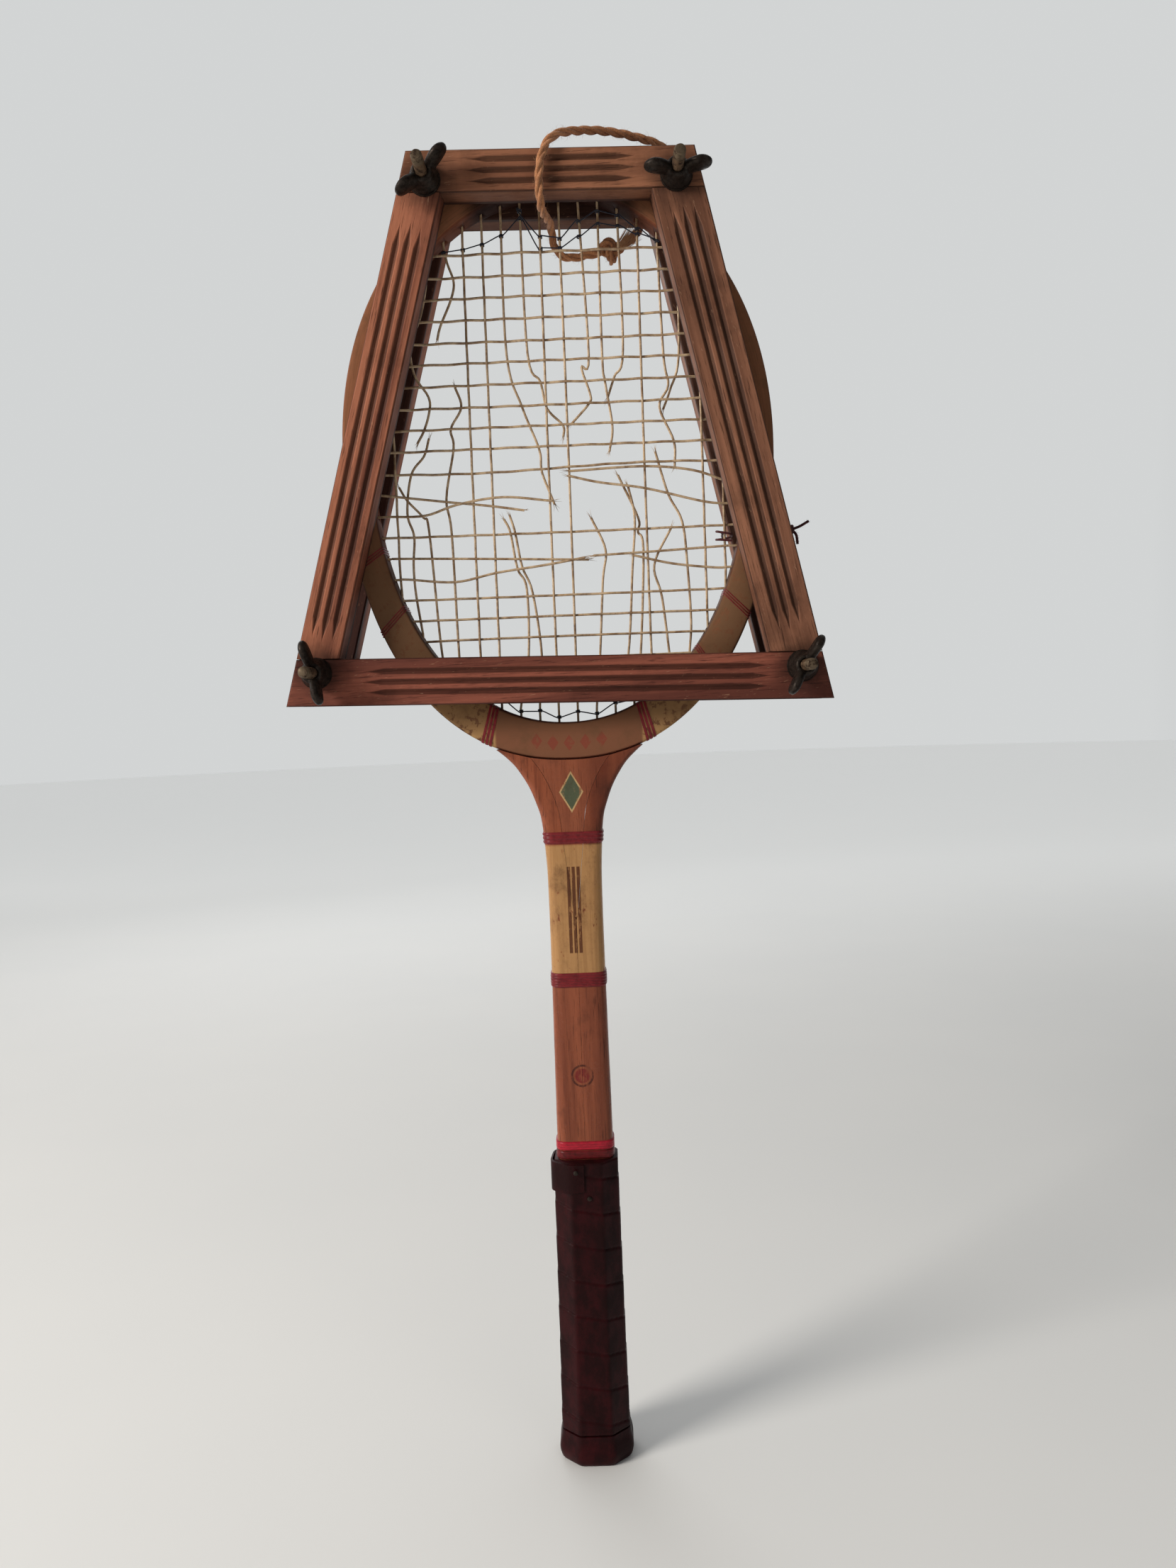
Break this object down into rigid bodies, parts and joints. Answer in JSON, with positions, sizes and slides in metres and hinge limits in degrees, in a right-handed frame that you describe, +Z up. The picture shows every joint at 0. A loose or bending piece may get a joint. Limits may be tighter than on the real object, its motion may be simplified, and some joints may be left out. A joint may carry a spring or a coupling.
{
  "type": "tennis racket in a wooden press",
  "caption": "Old wooden tennis racket with a leather grip and broken gut strings, clamped in a fluted trapezoid press with bolts and wing nuts, with a rope round its top.",
  "frame": {"origin": "centre of the flat end of the butt", "axes": "+Z up the handle to the tip of the head, +X to the right across the head, -Y out of the face that carries the wing nuts"},
  "size_m": [0.2809, 0.0841, 0.7064],
  "materials": {
    "hoop_wood": "aged varnish, grimy, with worn paint",
    "shaft_wood": "amber varnish over pale wood, part painted straw colour",
    "pallet_wood": "bare wood under the leather",
    "press_wood": "brown stained, satin, scuffed",
    "leather": "worn dark red-brown leather",
    "red_binding": "red varnished thread",
    "gut": "aged translucent gut",
    "thread": "blue-black twisted thread",
    "brass": "tarnished, threaded ends worn bright",
    "cast_metal": "black-brown, pitted",
    "jute": "hairy three-strand jute",
    "red_cord": "matt dark red cord"
  },
  "bodies": {
    "racket": {"head_hoop": "hoop_wood", "throat_wedge": "shaft_wood", "shaft_leg_left": "shaft_wood", "shaft_leg_right": "shaft_wood", "handle_pallet_front": "pallet_wood", "handle_pallet_back": "pallet_wood", "leather_grip": "leather", "grip_end_turn": "leather", "butt_cap": "leather", "grip_tack_upper": "cast_metal", "grip_tack_lower": "cast_metal", "binding_throat": "red_binding", "binding_shaft": "red_binding", "binding_grip": "red_binding", "binding_hoop_left": "red_binding", "binding_hoop_right": "red_binding", "main_string_1": "gut", "main_string_2": "gut", "main_string_3": "gut", "main_string_4": "gut", "main_string_5": "gut", "main_string_6": "gut", "main_string_7": "gut", "main_string_8": "gut", "main_string_9": "gut", "main_string_10": "gut", "main_string_11": "gut", "cross_string_1": "gut", "cross_string_2": "gut", "cross_string_3": "gut", "cross_string_4": "gut", "cross_string_5": "gut", "trebling_top": "thread", "trebling_bottom": "thread", "press_back_top": "press_wood", "press_back_bottom": "press_wood", "press_back_left": "press_wood", "press_back_right": "press_wood", "bolt_top_left": "brass", "bolt_top_right": "brass", "bolt_bottom_left": "brass", "bolt_bottom_right": "brass", "rope_back": "jute", "rope_lower": "jute", "rope_knot": "jute", "tie_cord": "red_cord", "tie_knot": "red_cord"},
    "front_press": {"press_front_top": "press_wood", "press_front_bottom": "press_wood", "press_front_left": "press_wood", "press_front_right": "press_wood", "washer_top_left": "cast_metal", "washer_top_right": "cast_metal", "washer_bottom_left": "cast_metal", "washer_bottom_right": "cast_metal", "rope_front": "jute"},
    "nut_top_left": {"wing_nut_top_left": "cast_metal"},
    "nut_top_right": {"wing_nut_top_right": "cast_metal"},
    "nut_bottom_left": {"wing_nut_bottom_left": "cast_metal"},
    "nut_bottom_right": {"wing_nut_bottom_right": "cast_metal"}
  },
  "joints": [
    {"name": "press_open", "type": "slide", "parent": "racket", "child": "front_press", "axis": [0, -1, 0], "range_m": [0, 0.008]},
    {"name": "nut_turn_top_left", "type": "hinge", "parent": "front_press", "child": "nut_top_left", "pos_m": [-0.06056, -0.031, 0.67596], "axis": [0, -1, 0], "range_deg": [0, 2267.72]},
    {"name": "nut_turn_top_right", "type": "hinge", "parent": "front_press", "child": "nut_top_right", "pos_m": [0.06481, -0.031, 0.67318], "axis": [0, -1, 0], "range_deg": [0, 2267.72]},
    {"name": "nut_turn_bottom_left", "type": "hinge", "parent": "front_press", "child": "nut_bottom_left", "pos_m": [-0.12755, -0.031, 0.43378], "axis": [0, -1, 0], "range_deg": [0, 2267.72]},
    {"name": "nut_turn_bottom_right", "type": "hinge", "parent": "front_press", "child": "nut_bottom_right", "pos_m": [0.12099, -0.031, 0.42828], "axis": [0, -1, 0], "range_deg": [0, 2267.72]}
  ],
  "couplings": [
    {"joint": "nut_turn_top_left", "follows": "press_open", "rad_per_m": 4947.4},
    {"joint": "nut_turn_top_right", "follows": "press_open", "rad_per_m": 4947.4},
    {"joint": "nut_turn_bottom_left", "follows": "press_open", "rad_per_m": 4947.4},
    {"joint": "nut_turn_bottom_right", "follows": "press_open", "rad_per_m": 4947.4}
  ]
}
